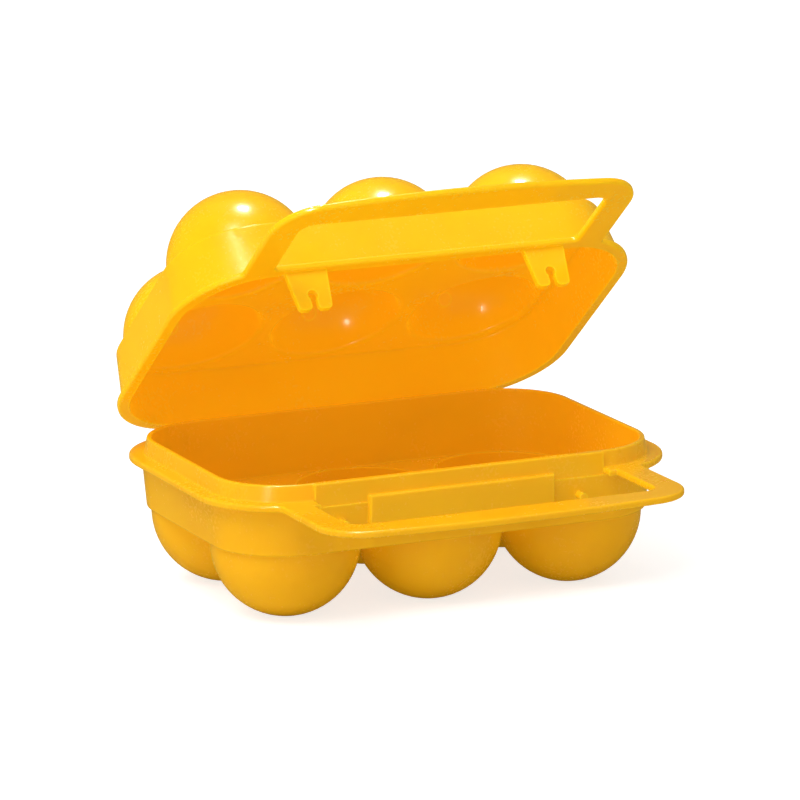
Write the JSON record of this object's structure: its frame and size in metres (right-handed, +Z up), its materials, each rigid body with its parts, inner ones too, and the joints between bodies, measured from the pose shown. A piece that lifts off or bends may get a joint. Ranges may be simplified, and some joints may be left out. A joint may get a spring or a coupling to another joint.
{
  "type": "egg carrier",
  "caption": "Moulded plastic egg carrier: a cupped tray and a domed lid, hinged at the back, with a flat carrying handle on the front of each half, shown standing open.",
  "frame": {"origin": "the point of the floor under the centre of the six cups", "axes": "+X along the three columns of cups, to the right as seen from the handles; +Y from the handles towards the hinge; +Z up"},
  "size_m": [0.155, 0.1635, 0.1345],
  "materials": {
    "tray_plastic": "glossy moulded yellow",
    "lid_plastic": "glossy moulded yellow",
    "pin_plastic": "smooth moulded yellow"
  },
  "bodies": {
    "tray": {"base_tray": "tray_plastic", "hinge_pin_left": "pin_plastic", "hinge_pin_right": "pin_plastic"},
    "lid": {"lid": "lid_plastic"}
  },
  "joints": [
    {"name": "lid_hinge", "type": "hinge", "parent": "tray", "child": "lid", "pos_m": [0, 0.0553, 0.0349], "axis": [-1, 0, 0], "range_deg": [-38.5, 111.5]}
  ]
}
